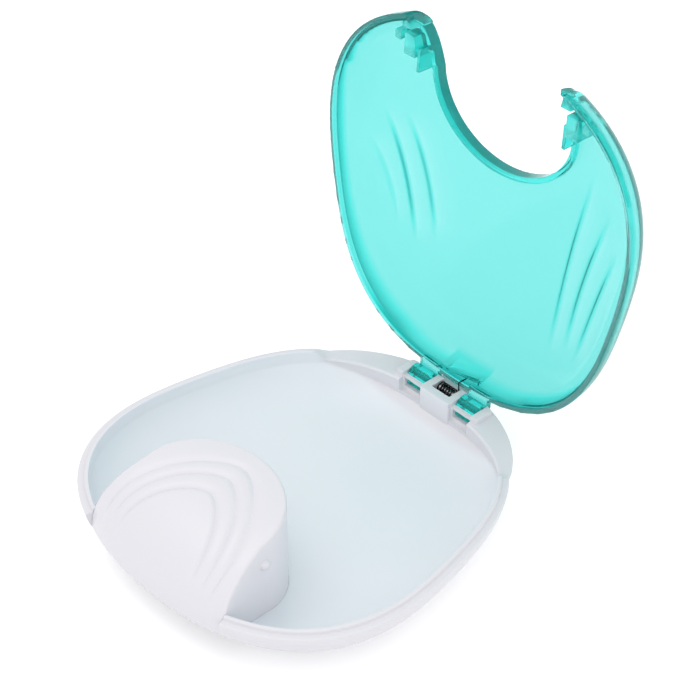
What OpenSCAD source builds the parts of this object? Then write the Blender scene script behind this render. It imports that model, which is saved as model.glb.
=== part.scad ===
// Denture case: a white tray with a sprung, hinged clear lid and a large press button at the front.
// +X is to the right seen from the front, +Y to the rear, +Z up. The origin is on the underside.
// The lid is drawn open, resting on its stop, as it stands after the button has let it spring up.

/* [Case] */
// Mean radius of the case's outline
case_r = 43.5; // [38:0.5:50]
// Three-sided part of the outline, which widens the front corners
outline_three = 0.028; // [0:0.002:0.04]
// Four-sided part of the outline, which fills out the corners
outline_four = -0.032; // [-0.04:0.002:0]
// Five-sided part of the outline, which flattens the front
outline_five = -0.010; // [-0.02:0.002:0]
// Height of the tray's rim above the table
rim_z = 13; // [12:0.5:16]
// Depth of the tray from the rim to its floor
tray_depth = 10; // [8:0.5:10.5]
// Wall thickness of the tray and lid
wall = 1.8; // [1.5:0.1:2.2]
// How far the rear lobe stands out behind the lid, to carry the hinge
lobe_depth = 5.6; // [5:0.1:6.5]

/* [Lid] */
// Height of the lid's dome above the rim
lid_h = 11.6; // [11.6:0.2:15]
// Angle that the lid stands open, degrees
open_angle = 93; // [0:1:95]
// Width of the lid's arched cutout
cutout_w = 37.8; // [37.4:0.2:39]
// Rear end of the cutout, measured from the middle of the case
cutout_apex_y = -8.4; // [-11:0.1:-8.4]
// Depth of the cutout's edge, with its lip
lip_h = 3.3; // [2.4:0.1:3.6]

/* [Button] */
// Height of the button's crown above the rim
button_h = 11.5; // [10.5:0.1:11.5]
// Width of the button
button_w = 36.2; // [34:0.2:36.2]
// Rear end of the button, measured from the middle of the case
button_apex_y = -8.9; // [-11:0.1:-8.9]
// Distance that the button travels when it is pressed
button_travel = 1.4; // [0.8:0.1:1.5]

/* [Hinge] */
// Hinge line's distance behind the middle of the case
hinge_y = 44.8; // [44.6:0.1:45.1]
// Hinge line's height below the rim
hinge_drop = 1.4; // [1.3:0.1:1.5]
// Radius of a lid knuckle
knuckle_r = 2; // [1.85:0.05:2]
// Radius of the hinge pin
pin_r = 0.6; // [0.5:0.05:0.7]
// Radial clearance of the knuckles on the pin
pin_clear = 0.06; // [0.02:0.01:0.1]
// Wire thickness of the lid's torsion spring
wire_d = 0.33; // [0.28:0.01:0.33]
// Turns of the lid's torsion spring
lid_spring_turns = 6.25; // [4.25:1:6.25]

/* [Hidden] */

// Colours
tray_white = [0.93, 0.93, 0.96];
button_white = [0.91, 0.90, 0.95];
lid_teal = [0.35, 0.90, 0.84, 0.6];
steel = [0.75, 0.76, 0.78];
spring_black = [0.12, 0.12, 0.13];

hinge_z = rim_z - hinge_drop;
seat_gap = 0.15;             // closed lid's rim above the tray's rim
lid_z = rim_z + seat_gap;
floor_z = rim_z - tray_depth;
well_z = 1.2;                // thickness of the floor under the button
steps = 72;                  // points round an outline
big = 200;

// Section exponents of the tray, lid and button: height = (1 - s^p)^(1/q) at the outline scale s
tray_p = 4.5;
tray_q = 1.8;
lid_p = 4.5;
lid_q = 2.7;
button_p = 3.6;
button_q = 2.3;
floor_scale = 0.45;          // scale at which the tray's inner curve meets its flat floor
button_scale = 0.975;        // outline scale of the button's front edge, on the tray's outer face

// Rim: a flat seat for the lid, then a lip that stands up inside the lid
seat_w = 1.5;
rim_lip_w = 0.9;
rim_lip_h = 0.8;
lip_clear = 0.35;            // between that lip and what passes over it
lid_clear = 0.35;            // gap between the closed lid's hooks and the button
flange_w = seat_w - 0.3;     // width of the lid's bottom edge

// Rear lobe
lobe_half = 42;              // half angle that the lobe spans
lobe_drop = 1;               // lobe's edge below the rim
shelf_drop = 1.4;            // shelf under the lid's rear edge, below the rim
lobe_blend = 5;              // angle over which the rim steps down to the lobe
lobe_hollow = 0.75;          // share of the lobe that the tray's hollow follows

// Hinge housing
knuckle_x = 7.5;             // middle of a knuckle
knuckle_w = 5.6;
side_gap = 0.2;
pocket_w = knuckle_w + 2 * side_gap;
housing_w = 24.8;
housing_front = 41.2;        // front face of the housing beside the windows
block_w = 8.6;               // middle block, which stands a little further forward
block_front = 40.5;
housing_top = rim_z - 0.1;
niche_back = 41.7;           // front face of the bars
bar_y = 42.5;                // rear face of the bars
bar_top = rim_z - 0.9;
bar_z = rim_z - 1.7;         // underside of the bars
sill_z = rim_z - 3.8;        // lower edge of the windows below the bars
stop_gap = 0.05;             // between the open lid's heels and the bar
heel_h = 2.3;                // height of a heel below the hinge line
heel_w = hinge_y - bar_y - stop_gap;
heel_reach = norm([heel_w, heel_h]);
spring_slot_w = 5.3;         // slot between the knuckles for the torsion spring
spring_slot_front = 42.6;
spring_r = 1.4;              // mean radius of the torsion spring's coil
spring_x = 2.3;              // half length of the coil

// Button works
guide_x = 8.5;
guide_y = -21;
guide_r = 2;
guide_clear = 0.08;
guide_top = 10.7;
root = 0.3;                  // how far posts and seats run into the floor they stand on
post_x = 13;                 // inner face of a snap post
post_w = 4;
post_t = 1.2;
post_top = 11.5;
hook_reach = 2.3;
hook_t = 0.8;
button_gap = 0.45;           // gap between the button and the tray round it
button_wall = 1.6;
skirt_z = well_z + button_travel + 0.25; // lower edge of the button's arched wall
front_skirt_z = 4.4;         // lower edge of its front
nub_r = 1.1;
nub_y = -24.5;
nub_z = rim_z + 4.2;
return_spring_r = 3;
return_spring_wire = 0.25;
return_spring_turns = 5.25;
return_spring_y = guide_y;
return_seat_z = 9;           // where the return spring meets the button
socket_z = 4;                // lower end of the sockets that slide on the guide posts
pilot_r = 2.2;               // pins that the return spring's ends fit round
pilot_h = 1.3;
arch_steps = 16;             // points round a quarter of an arch
button_mid_y = -24;          // where the button is widest
cutout_mid_y = -24;          // where the cutout's sides begin
flare = 0.2;                 // widening of both towards the front
front_y = -50;               // safely in front of the case

// ---- Outline and ring functions ----

function outline_r(a) = case_r * (1 + outline_three * cos(3 * a)
    + outline_four * cos(4 * a) + outline_five * cos(5 * a));
function lobe_r(a) = abs(a) < lobe_half ? lobe_depth * cos(90 * a / lobe_half) : 0;
function smooth(t) = let (u = min(1, max(0, t))) u * u * (3 - 2 * u);
function mix(a, b, t) = a + (b - a) * t;
// 1 on the rear lobe, 0 on the rest of the rim
function rear(a) = smooth((lobe_half + 1 - abs(a)) / lobe_blend);
function bulge(s, p, q) = pow(max(0, 1 - pow(s, p)), 1 / q);

function ring_angles() = [for (i = [0:steps - 1]) 180 - i * 360 / steps];
// Ring at scale s of the outline, drawn in by d, at height z, with a share of the lobe
function ring(s, d, z, share = 0) = [for (a = ring_angles())
    let (r = s * (outline_r(a) + share * lobe_r(a)) - d) [r * sin(a), r * cos(a), z]];
// Rim ring: its inset and height change where the rim passes over the rear lobe
function rim_ring(d, d_rear, z, z_rear, share) = [for (a = ring_angles())
    let (w = rear(a), r = outline_r(a) + share * lobe_r(a) - mix(d, d_rear, w))
    [r * sin(a), r * cos(a), mix(z, z_rear, w)]];

// Closed solid through a stack of rings, from its lowest middle point to its highest
module loft(rings, first, last) {
    n = len(rings[0]);
    m = len(rings);
    points = concat([first], [for (r = rings) for (p = r) p], [last]);
    faces = concat(
        [for (i = [0:n - 1]) [0, 1 + i, 1 + (i + 1) % n]],
        [for (k = [0:m - 2]) for (i = [0:n - 1]) let (b = 1 + k * n, j = (i + 1) % n)
            [b + i, b + n + i, b + n + j]],
        [for (k = [0:m - 2]) for (i = [0:n - 1]) let (b = 1 + k * n, j = (i + 1) % n)
            [b + i, b + n + j, b + j]],
        [for (i = [0:n - 1]) let (b = 1 + (m - 1) * n) [b + i, 1 + m * n, b + (i + 1) % n]]);
    polyhedron(points = points, faces = faces, convexity = 6);
}

// Half outline of an arch, open to the front: straight flared sides under half an ellipse
function arch_points(half_w, apex_y, mid_y) = concat(
    [[-half_w - flare * (mid_y - front_y), front_y]],
    [for (i = [0:2 * arch_steps]) let (t = 180 - i * 90 / arch_steps)
        [half_w * cos(t), mid_y + (apex_y - mid_y) * sin(t)]],
    [[half_w + flare * (mid_y - front_y), front_y]]);
module button_plan(grow = 0) {
    polygon(arch_points(button_w / 2 + grow, button_apex_y + grow, button_mid_y));
}
module cutout_plan(grow = 0) {
    polygon(arch_points(cutout_w / 2 + grow, cutout_apex_y + grow, cutout_mid_y));
}

// Tube along a path, with its flat side square to the axis that the coil runs round
function unit(v) = v / norm(v);
function path_dir(p, i) = unit(p[min(i + 1, len(p) - 1)] - p[max(i - 1, 0)]);
module tube(path, r, axis) {
    sides = 6;
    n = len(path);
    points = [for (i = [0:n - 1])
        let (t = path_dir(path, i), u = unit(cross(t, axis)), v = cross(u, t))
        for (k = [0:sides - 1]) path[i] + r * (cos(k * 360 / sides) * u + sin(k * 360 / sides) * v)];
    faces = concat([[for (k = [0:sides - 1]) sides - 1 - k]],
        [for (i = [0:n - 2]) for (k = [0:sides - 1]) let (b = i * sides, j = (k + 1) % sides)
            [b + k, b + j, b + sides + j]],
        [for (i = [0:n - 2]) for (k = [0:sides - 1]) let (b = i * sides, j = (k + 1) % sides)
            [b + k, b + sides + j, b + sides + k]],
        [[for (k = [0:sides - 1]) (n - 1) * sides + k]]);
    polyhedron(points = points, faces = faces, convexity = 10);
}

// ---- Tray ----

outer_scales = [0.5, 0.6, 0.68, 0.76, 0.83, 0.89, 0.93, 0.96, 0.985];
inner_scales = [0.985, 0.96, 0.92, 0.87, 0.81, 0.74, 0.66, 0.56, floor_scale];
// The outer face is drawn a little deeper than the rim's height, which leaves a flat underside
function tray_outer_z(s) = max(0, rim_z - 1.03 * rim_z * bulge(s, tray_p, tray_q));
function tray_inner_z(s) = rim_z
    - tray_depth * bulge(s, tray_p, tray_q) / bulge(floor_scale, tray_p, tray_q);

module tray_shell() {
    corner = 0.35;
    top_drop = rim_z - lobe_drop;
    outer = [for (s = outer_scales) [for (a = ring_angles())
        let (r = s * (outline_r(a) + lobe_r(a)))
        [r * sin(a), r * cos(a), tray_outer_z(s) * mix(1, top_drop / rim_z, rear(a))]]];
    rim = [
        rim_ring(0, 0, rim_z - corner, top_drop - corner, 1),
        rim_ring(corner, corner, rim_z, top_drop, 1),
        rim_ring(seat_w, seat_w, rim_z, rim_z - shelf_drop, 0),
        rim_ring(seat_w + 0.05, seat_w + 0.1, rim_z + rim_lip_h, rim_z - shelf_drop - 0.02, 0),
        rim_ring(seat_w + rim_lip_w, seat_w + 0.4, rim_z + rim_lip_h, rim_z - shelf_drop - 0.2, 0)
    ];
    inner = [for (s = inner_scales) [for (a = ring_angles())
        let (hollow = s * (outline_r(a) + lobe_hollow * lobe_r(a)) - wall,
            under_shelf = outline_r(a) - seat_w - 0.5,
            r = min(hollow, under_shelf))
        [r * sin(a), r * cos(a), tray_inner_z(s)]]];
    loft(concat(outer, rim, inner), [0, 0, 0], [0, 0, floor_z]);
}

// What lies inside and above the tray's outer face, drawn in by inset and lifted by lift
module above_tray(inset, lift) {
    face = [for (s = outer_scales) ring(s, inset, tray_outer_z(s) + lift, 1)];
    sides = [ring(1, inset, rim_z + lift, 1), ring(1, inset, big, 1)];
    loft(concat(face, sides), [0, 0, lift], [0, 0, big]);
}
// Space under the button; a strip of the tray's front wall stands up below the button's front
module button_space(grow, inset, lift, front_z) {
    intersection() {
        linear_extrude(big) button_plan(grow);
        union() {
            above_tray(inset, lift);
            translate([-big / 2, -big / 2, front_z]) cube(big);
        }
    }
}

// Flat posts with a hook at the top, which hold the button against its spring
module snap_post() translate([post_x, guide_y - post_w / 2, 0]) {
    translate([0, 0, well_z - root]) cube([post_t, post_w, post_top - well_z + root]);
    translate([0, 0, post_top - hook_t]) cube([hook_reach, post_w, hook_t]);
}

module hinge_housing() intersection() {
    union() {
        translate([-housing_w / 2, housing_front, floor_z + 1])
            cube([housing_w, 5.4, housing_top - floor_z - 1]);
        translate([-block_w / 2, block_front, floor_z + 1])
            cube([block_w, 5.4, housing_top - floor_z - 1]);
    }
    above_tray(0.6, 0);
}
module hinge_pockets() {
    for (side = [-1, 1]) translate([side * knuckle_x, 0, 0]) {
        // Pocket for the knuckle, open to the top and the rear
        translate([-pocket_w / 2, bar_y, hinge_z - heel_reach - 0.3]) cube([pocket_w, 20, 20]);
        // The bar's top stands lower than the rest of the housing
        translate([-pocket_w / 2, housing_front - 10, bar_top]) cube([pocket_w, 20, 20]);
        // Niche that thins the tray's wall in front of the knuckle
        translate([-pocket_w / 2, 30, sill_z - 0.8]) cube([pocket_w, niche_back - 30, 20]);
        // Window below the bar
        translate([-pocket_w / 2 + 0.3, housing_front - 10, sill_z])
            cube([pocket_w - 0.6, 15, bar_z - sill_z]);
    }
    // Slot for the torsion spring
    translate([-spring_slot_w / 2, spring_slot_front, hinge_z - spring_r - 0.5])
        cube([spring_slot_w, hinge_y + spring_r + 0.5 - spring_slot_front, 20]);
}

module base_tray() color(tray_white) {
    difference() {
        union() {
            resize([0, 0, 0]) difference() {
                union() {
                    tray_shell();
                    hinge_housing();
                }
                button_space(button_gap, 0, well_z, front_skirt_z - button_travel - 0.25);
                hinge_pockets();
            }
            for (side = [-1, 1]) {
                translate([side * guide_x, guide_y, well_z - root])
                    cylinder(r = guide_r, h = guide_top - well_z + root, $fn = 48);
                scale([side, 1, 1]) snap_post();
            }
            translate([0, return_spring_y, well_z - root])
                cylinder(r = pilot_r, h = pilot_h + root, $fn = 48);
        }
        // Bore for the hinge pin
        translate([-housing_w / 2 + 1, hinge_y, hinge_z]) rotate([0, 90, 0])
            cylinder(r = pin_r + 0.02, h = housing_w - 2, $fn = 48);
    }
}

// ---- Lid, drawn closed and then turned open about the hinge ----

module lid_outer(inset = 0, drop = 0) {
    rings = [for (s = [1, 0.995, 0.985, 0.965, 0.93, 0.88, 0.81, 0.72, 0.6, 0.45, 0.25])
        ring(s, inset, lid_z + lid_h * bulge(s, lid_p, lid_q) - drop)];
    loft(rings, [0, 0, lid_z - drop], [0, 0, lid_z + lid_h - drop]);
}
module lid_inner() {
    inner_h = lid_h - wall;
    rebate_top = rim_z + rim_lip_h + 0.3;
    rings = concat([ring(1, flange_w, lid_z - 1), ring(1, flange_w, rebate_top)],
        [for (s = [0.985, 0.965, 0.93, 0.88, 0.81, 0.72, 0.6, 0.45, 0.25])
            ring(s, wall, lid_z + inner_h * bulge(s, lid_p, lid_q))]);
    loft(rings, [0, 0, lid_z - 1], [0, 0, lid_z + inner_h]);
}
module lid_cut() translate([0, 0, -big / 2]) linear_extrude(big) cutout_plan();
// Lip that hangs round the cutout, clear of the button's crown
module cutout_lip() difference() {
    linear_extrude(big) cutout_plan(1.3);
    lid_outer(0, lip_h);
    button_clearance();
}

// Catch that snaps past the button's nub, and the blocks round it at each tip of the lid
module tip_catches() {
    catch_x = 19.8;
    for (side = [-1, 1]) scale([side, 1, 1]) {
        translate([catch_x, -29.4, nub_z - 0.6]) cube([0.9, 5.4, 20]);
        translate([catch_x - 0.3, nub_y - 1.3, nub_z - 0.6]) cube([0.6, 2.6, 0.4]);
        translate([catch_x + 1, -32.2, rim_z + 3]) cube([3.2, 5, 20]);
        translate([catch_x + 5.2, -31.8, rim_z + 3]) cube([1.8, 2, 20]);
    }
}
// Hooks at the lid's two tips, which reach over the button's shoulders
module tip_hooks() difference() {
    intersection() {
        lid_outer(0.4, 0.4);
        for (side = [-1, 1]) scale([side, 1, 1])
            translate([20.1, -40, rim_z + rim_lip_h + lip_clear]) cube([3, 5.6, 20]);
    }
    button_clearance();
}
// Sloping hood inside the lid's rear wall, over the end of the spring's leg
module spring_hood() {
    hood_x = -3;
    hood_w = 9.5;
    cheek_w = 0.7;
    translate([hood_x, 0, 0]) rotate([90, 0, 90]) linear_extrude(hood_w)
        polygon([[40, rim_z + 1.3], [40.6, rim_z + 1.6], [38.8, rim_z + 6], [37, rim_z + 6]]);
    for (x = [hood_x - 0.1, hood_x + hood_w - cheek_w + 0.1])
        translate([x, 0, 0]) rotate([90, 0, 90]) linear_extrude(cheek_w)
            polygon([[39.9, rim_z + 1.2], [big, rim_z + 1.2], [big, rim_z + 6], [37.2, rim_z + 6]]);
}
module knuckle() {
    rotate([0, 90, 0]) translate([0, 0, -knuckle_w / 2]) cylinder(r = knuckle_r, h = knuckle_w, $fn = 64);
    // Arm from the knuckle to the lid's rear wall
    arm_l = 3.9;
    translate([-knuckle_w / 2, -arm_l, seat_gap + hinge_drop]) cube([knuckle_w, arm_l, 1.5]);
    // Stop heel: it points down when the lid is open and meets the bar in front of it
    heel_in = 0.85;              // its inner corner stays inside the knuckle, clear of the bore
    rotate([open_angle, 0, 0]) translate([-knuckle_w / 2, -heel_w, -heel_h])
        cube([knuckle_w, heel_w - heel_in, heel_h - heel_in]);
}

module lid_closed() {
    difference() {
        union() {
            resize([0, 0, 0]) {
                difference() {
                    lid_outer();
                    difference() {
                        lid_inner();
                        cutout_lip();
                        tip_catches();
                        spring_hood();
                    }
                    lid_cut();
                }
                tip_hooks();
            }
            for (side = [-1, 1]) translate([side * knuckle_x, hinge_y, hinge_z]) knuckle();
        }
        translate([-big / 2, hinge_y, hinge_z]) rotate([0, 90, 0])
            cylinder(r = pin_r + pin_clear, h = big, $fn = 48);
    }
}
module lid() color(lid_teal) {
    translate([0, hinge_y, hinge_z]) rotate([-open_angle, 0, 0]) translate([0, -hinge_y, -hinge_z])
        lid_closed();
}

// ---- Button ----

button_foot_z = tray_outer_z(button_scale);
function button_z(s, drop) = button_foot_z - drop
    + (rim_z + button_h - button_foot_z) * bulge(s, button_p, button_q);
// The button's crown, which rises steeply from the tray's own front curve
module button_body(inset, drop) {
    lower = [for (s = [0.72, 0.8, 0.865, 0.905, 0.935, 0.957])
        ring(s, inset, tray_outer_z(s) - drop)];
    upper = [for (s = [1, 0.985, 0.96, 0.93, 0.89, 0.83, 0.75, 0.64, 0.5, 0.35, 0.18])
        ring(s * button_scale, inset, button_z(s, drop))];
    loft(concat(lower, upper), [0, 0, -drop], [0, 0, button_z(0, drop)]);
}
// What the lid keeps clear of, a gap round the button
module button_clearance() intersection() {
    button_body(-lid_clear, -lid_clear);
    linear_extrude(big) button_plan(lid_clear);
}
module button_shell() {
    difference() {
        intersection() {
            button_body(0, 0);
            button_space(0, 0.3, skirt_z, front_skirt_z);
        }
        difference() {
            intersection() {
                button_body(button_wall, button_wall);
                linear_extrude(big) button_plan(-button_wall);
            }
            // Catch ribs that rest under the snap posts' hooks
            for (side = [-1, 1]) scale([side, 1, 1])
                translate([post_x + post_t + 0.5, guide_y - post_w / 2, post_top - hook_t - 1.5])
                    cube([4, post_w, 1.4]);
        }
    }
    for (side = [-1, 1]) translate([side * (button_w / 2 - 0.13), nub_y, nub_z]) sphere(r = nub_r, $fn = 24);
}
module under_crown() intersection() {
    button_body(button_wall / 2, button_wall / 2);
    children();
}
module press_button() color(button_white) {
    difference() {
        union() {
            resize([0, 0, 0]) {
                button_shell();
                under_crown() {
                    for (side = [-1, 1]) translate([side * guide_x, guide_y, socket_z])
                        cylinder(r = guide_r + 1.5, h = big, $fn = 36);
                }
                under_crown() translate([0, return_spring_y, return_seat_z])
                    cylinder(r = return_spring_r + 1, h = big, $fn = 32);
                translate([0, return_spring_y, return_seat_z - 2])
                    cylinder(r = pilot_r, h = 4, $fn = 32);
            }
        }
        // Bores that slide on the guide posts, deep enough for the button's travel
        for (side = [-1, 1]) translate([side * guide_x, guide_y, socket_z - 1])
            cylinder(r = guide_r + guide_clear, h = guide_top + 2.8 - socket_z + 1, $fn = 48);
    }
}

// ---- Pin and springs ----

module hinge_pin() color(steel) {
    translate([-housing_w / 2 + 1.1, hinge_y, hinge_z]) rotate([0, 90, 0])
        cylinder(r = pin_r, h = housing_w - 2.2, $fn = 48);
}

// Torsion spring: a leg in the slot, the coil round the pin, and a leg up the lid's rim
coil_steps = 8;
lid_spring_path = concat(
    [[-spring_x, spring_slot_front + 0.3, hinge_z - spring_r]],
    [for (i = [0:coil_steps * lid_spring_turns]) let (u = -90 + i * 360 / coil_steps)
        [-spring_x + 2 * spring_x * i / (coil_steps * lid_spring_turns),
            hinge_y + spring_r * cos(u), hinge_z + spring_r * sin(u)]],
    [[spring_x, hinge_y + 1.2, hinge_z + 1.2], [spring_x, hinge_y + 1.1, hinge_z + 3.3],
        [spring_x + 0.4, hinge_y + 3.4, hinge_z + 3.6]]);
module lid_spring() color(spring_black) {
    tube(lid_spring_path, wire_d / 2, [1, 0, 0]);
}
echo(lid_spring_gap = 2 * spring_x / lid_spring_turns - wire_d);

return_bottom = well_z + return_spring_wire + 0.03;
return_top = return_seat_z - return_spring_wire - 0.03;
button_spring_path = [for (i = [0:coil_steps * return_spring_turns]) let (u = i * 360 / coil_steps)
    [return_spring_r * cos(u), return_spring_y + return_spring_r * sin(u),
        mix(return_bottom, return_top, i / (coil_steps * return_spring_turns))]];
module button_spring() color(steel) {
    tube(button_spring_path, return_spring_wire, [0, 0, 1]);
}
echo(button_spring_gap = (return_top - return_bottom) / return_spring_turns - 2 * return_spring_wire);

base_tray();
lid();
press_button();
hinge_pin();
lid_spring();
button_spring();
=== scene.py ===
"""Denture case: a white tray with a large grooved press button and a clear, sprung lid.

Everything is in metres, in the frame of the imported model: +X to the right seen from the front,
+Y to the rear, +Z up, with the origin on the underside. The lid is built closed and turned open.
"""

import math

import bmesh
import bpy
import numpy as np
from mathutils import Matrix, Vector


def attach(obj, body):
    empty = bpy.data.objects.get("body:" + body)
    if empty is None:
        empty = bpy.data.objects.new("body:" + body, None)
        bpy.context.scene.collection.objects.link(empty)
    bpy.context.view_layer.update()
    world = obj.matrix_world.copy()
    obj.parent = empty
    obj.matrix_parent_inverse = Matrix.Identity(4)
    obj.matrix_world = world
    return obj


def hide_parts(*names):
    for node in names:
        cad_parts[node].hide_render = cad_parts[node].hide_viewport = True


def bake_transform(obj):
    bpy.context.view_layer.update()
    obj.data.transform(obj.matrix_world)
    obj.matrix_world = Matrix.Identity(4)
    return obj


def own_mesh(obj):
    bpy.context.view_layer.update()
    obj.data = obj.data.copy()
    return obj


bl_info = {
    "name": "Denture case",
    "version": (1, 0, 0),
    "blender": (4, 5, 0),
    "location": "View3D > Sidebar > Denture case",
    "description": "Builds a denture case with a sprung clear lid and a grooved press button",
    "category": "Add Mesh",
}

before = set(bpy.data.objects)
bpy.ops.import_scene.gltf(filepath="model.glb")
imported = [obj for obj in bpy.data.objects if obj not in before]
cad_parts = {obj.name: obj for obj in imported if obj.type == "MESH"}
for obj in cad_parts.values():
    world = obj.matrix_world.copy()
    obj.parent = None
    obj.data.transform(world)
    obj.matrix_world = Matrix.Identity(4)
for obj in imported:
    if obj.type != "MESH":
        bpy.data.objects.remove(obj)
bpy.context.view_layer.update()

MM = 0.001
FULL_TURN = 2 * math.pi
DOUBLED = 1e-7  # points closer than this are one point

# Section exponents of the tray, lid and button: height = (1 - s^p)^(1/q) at the outline scale s
TRAY_CURVE = (4.5, 1.8)
LID_CURVE = (4.5, 2.7)
BUTTON_CURVE = (3.6, 2.3)

# Rim and seat
SEAT_W = 1.5 * MM
RIM_LIP_W = 0.9 * MM
RIM_LIP_H = 0.8 * MM
SEAT_GAP = 0.15 * MM
FLANGE_W = 1.4 * MM
RIM_ROUND = 0.45 * MM

# Rear lobe that carries the hinge
LOBE_HALF = math.radians(42)
LOBE_DROP = 1.0 * MM
SHELF_DROP = 1.4 * MM
LOBE_BLEND = math.radians(5)
LOBE_HOLLOW = 0.75
FLOOR_SCALE = 0.45

# Well under the button
WELL_Z = 1.2 * MM
WELL_GAP = 0.03 * MM
WELL_FRONT_Z = 2.75 * MM
ARCH_MID_Y = -24 * MM
ARCH_FLARE = 0.2
CUTOUT_STEPS = 240
FRONT_Y = -50 * MM

# Hinge housing
KNUCKLE_X = 7.5 * MM
KNUCKLE_W = 5.6 * MM
POCKET_W = 6.0 * MM
HOUSING_W = 24.8 * MM
HOUSING_FRONT = 41.2 * MM
BLOCK_W = 8.6 * MM
BLOCK_FRONT = 40.5 * MM
HOUSING_DEPTH = 5.4 * MM
NICHE_BACK = 41.7 * MM
BAR_Y = 42.5 * MM
SLOT_W = 5.3 * MM
SLOT_FRONT = 42.6 * MM
SPRING_R = 1.4 * MM
SPRING_HALF = 2.3 * MM
SPRING_TURNS = 6.25
HEEL_H = 2.3 * MM
STOP_GAP = 0.05 * MM

# Button, its guides and its return spring
BUTTON_SCALE = 0.975
LID_CLEAR = 0.35 * MM
BUTTON_WALL = 1.6 * MM
SKIRT_LIFT = 2.85 * MM
FRONT_SKIRT_Z = 4.4 * MM
NUB_R = 1.3 * MM
NUB_IN = 0.33 * MM
NUB_Y = -24 * MM
NUB_RISE = 4.2 * MM
GUIDE_X = 8.5 * MM
GUIDE_Y = -21 * MM
GUIDE_R = 2 * MM
GUIDE_TOP = 10.7 * MM
RETURN_R = 3 * MM
RETURN_WIRE = 0.25 * MM
RETURN_TURNS = 5.25
RETURN_BOTTOM = 1.48 * MM
RETURN_TOP = 8.72 * MM
GROOVE_DEPTH = 0.5 * MM
SNAP_X = 13 * MM
SNAP_HALF_Y = 2 * MM
SNAP_TOP = 11.5 * MM
WIRE_STEPS = 32

# Heights below and above everything, for the solids that cut or trim
LOW_Z = -10 * MM
HIGH_Z = 90 * MM
SPACE_TOP = 100 * MM
BLOCK_TOP = 35 * MM

# Clear plastic: its index and how much light passes straight through
LID_IOR = 1.25
LID_CLEARNESS = 0.85
PLASTIC_IOR = 1.49

# Sockets of a colour Mix node: its factor, its two colours and its result
MIX_FACTOR, MIX_A, MIX_B, MIX_RESULT = 0, 6, 7, 2

# The camera that took the view: its angle, focal length in sensor widths and its offsets
CAMERA_AZIMUTH = math.radians(47.1)
CAMERA_ELEVATION = math.radians(38.1)
CAMERA_RIGHT = 11.4 * MM
CAMERA_RISE = 26.9 * MM
CAMERA_BACK = 413.9 * MM
CAMERA_FOCUS_PX = 1993.4
PICTURE_PX = 700
SENSOR_MM = 36

# Lamps above, on the camera's side and behind: name, place, power in watts and size, in metres
LAMPS = (
    ("Key", (-0.25, -0.1, 0.65), 0.4, 0.35),
    ("Fill", (0.55, -0.35, 0.3), 0.6, 0.6),
    ("Back", (0.1, 0.7, 0.5), 0.15, 0.6),
)
LAMP_AIM = Vector((0, 0.01, 0.02))
FLOOR_GLOW = 0.35


def length_prop(name, description, default):
    """Property for a length, whose default is given in millimetres."""
    return bpy.props.FloatProperty(name=name, description=description, default=default * MM, unit="LENGTH")


def number_prop(name, description, default):
    """Property for a plain number."""
    return bpy.props.FloatProperty(name=name, description=description, default=default)


def colour_prop(name, description, default):
    """Property for a colour."""
    return bpy.props.FloatVectorProperty(name=name, description=description, default=default, subtype="COLOR")


class CaseSizes(bpy.types.PropertyGroup):
    """Sizes of the tray and the hinge."""

    case_r: length_prop("Case radius", "Mean radius of the case's outline", 43.5)
    outline_three: number_prop("Three-sided part", "Widens the front corners of the outline", 0.028)
    outline_four: number_prop("Four-sided part", "Fills out the corners of the outline", -0.032)
    outline_five: number_prop("Five-sided part", "Flattens the front of the outline", -0.010)
    rim_z: length_prop("Rim height", "Height of the tray's rim above the table", 13)
    tray_depth: length_prop("Tray depth", "Depth from the rim to the tray's floor", 10)
    wall: length_prop("Wall", "Wall thickness of the tray and lid", 1.8)
    lobe_depth: length_prop("Lobe depth", "How far the rear lobe stands out behind the lid", 5.6)
    hinge_y: length_prop("Hinge line", "Hinge line's distance behind the middle of the case", 44.8)
    hinge_drop: length_prop("Hinge drop", "Hinge line's height below the rim", 1.4)
    knuckle_r: length_prop("Knuckle radius", "Radius of a lid knuckle", 2)
    pin_r: length_prop("Pin radius", "Radius of the hinge pin", 0.6)
    wire_r: length_prop("Spring wire", "Wire radius of the lid's torsion spring", 0.165)


class LidSizes(bpy.types.PropertyGroup):
    """Sizes of the lid."""

    lid_h: length_prop("Dome height", "Height of the lid's dome above the rim", 11.6)
    open_angle: bpy.props.FloatProperty(
        name="Open angle", description="Angle that the lid stands open",
        default=math.radians(93), subtype="ANGLE",
    )
    cutout_w: length_prop("Cutout width", "Width of the lid's arched cutout", 37.8)
    cutout_apex_y: length_prop("Cutout apex", "Rear end of the cutout", -8.4)
    lip_h: length_prop("Lip depth", "Depth of the cutout's edge with its lip", 3.3)
    lip_w: length_prop("Lip width", "Thickness of the lip round the cutout", 1.3)
    crease: length_prop("Crease depth", "Depth of the creases in the lid's wings", 0.38)


class ButtonSizes(bpy.types.PropertyGroup):
    """Sizes of the press button."""

    button_h: length_prop("Crown height", "Height of the button's crown above the rim", 11.5)
    button_w: length_prop("Width", "Width of the button", 36.2)
    button_apex_y: length_prop("Apex", "Rear end of the button", -8.9)
    edge_round: length_prop("Edge rounding", "Radius along the button's upper edge", 0.7)


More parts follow.
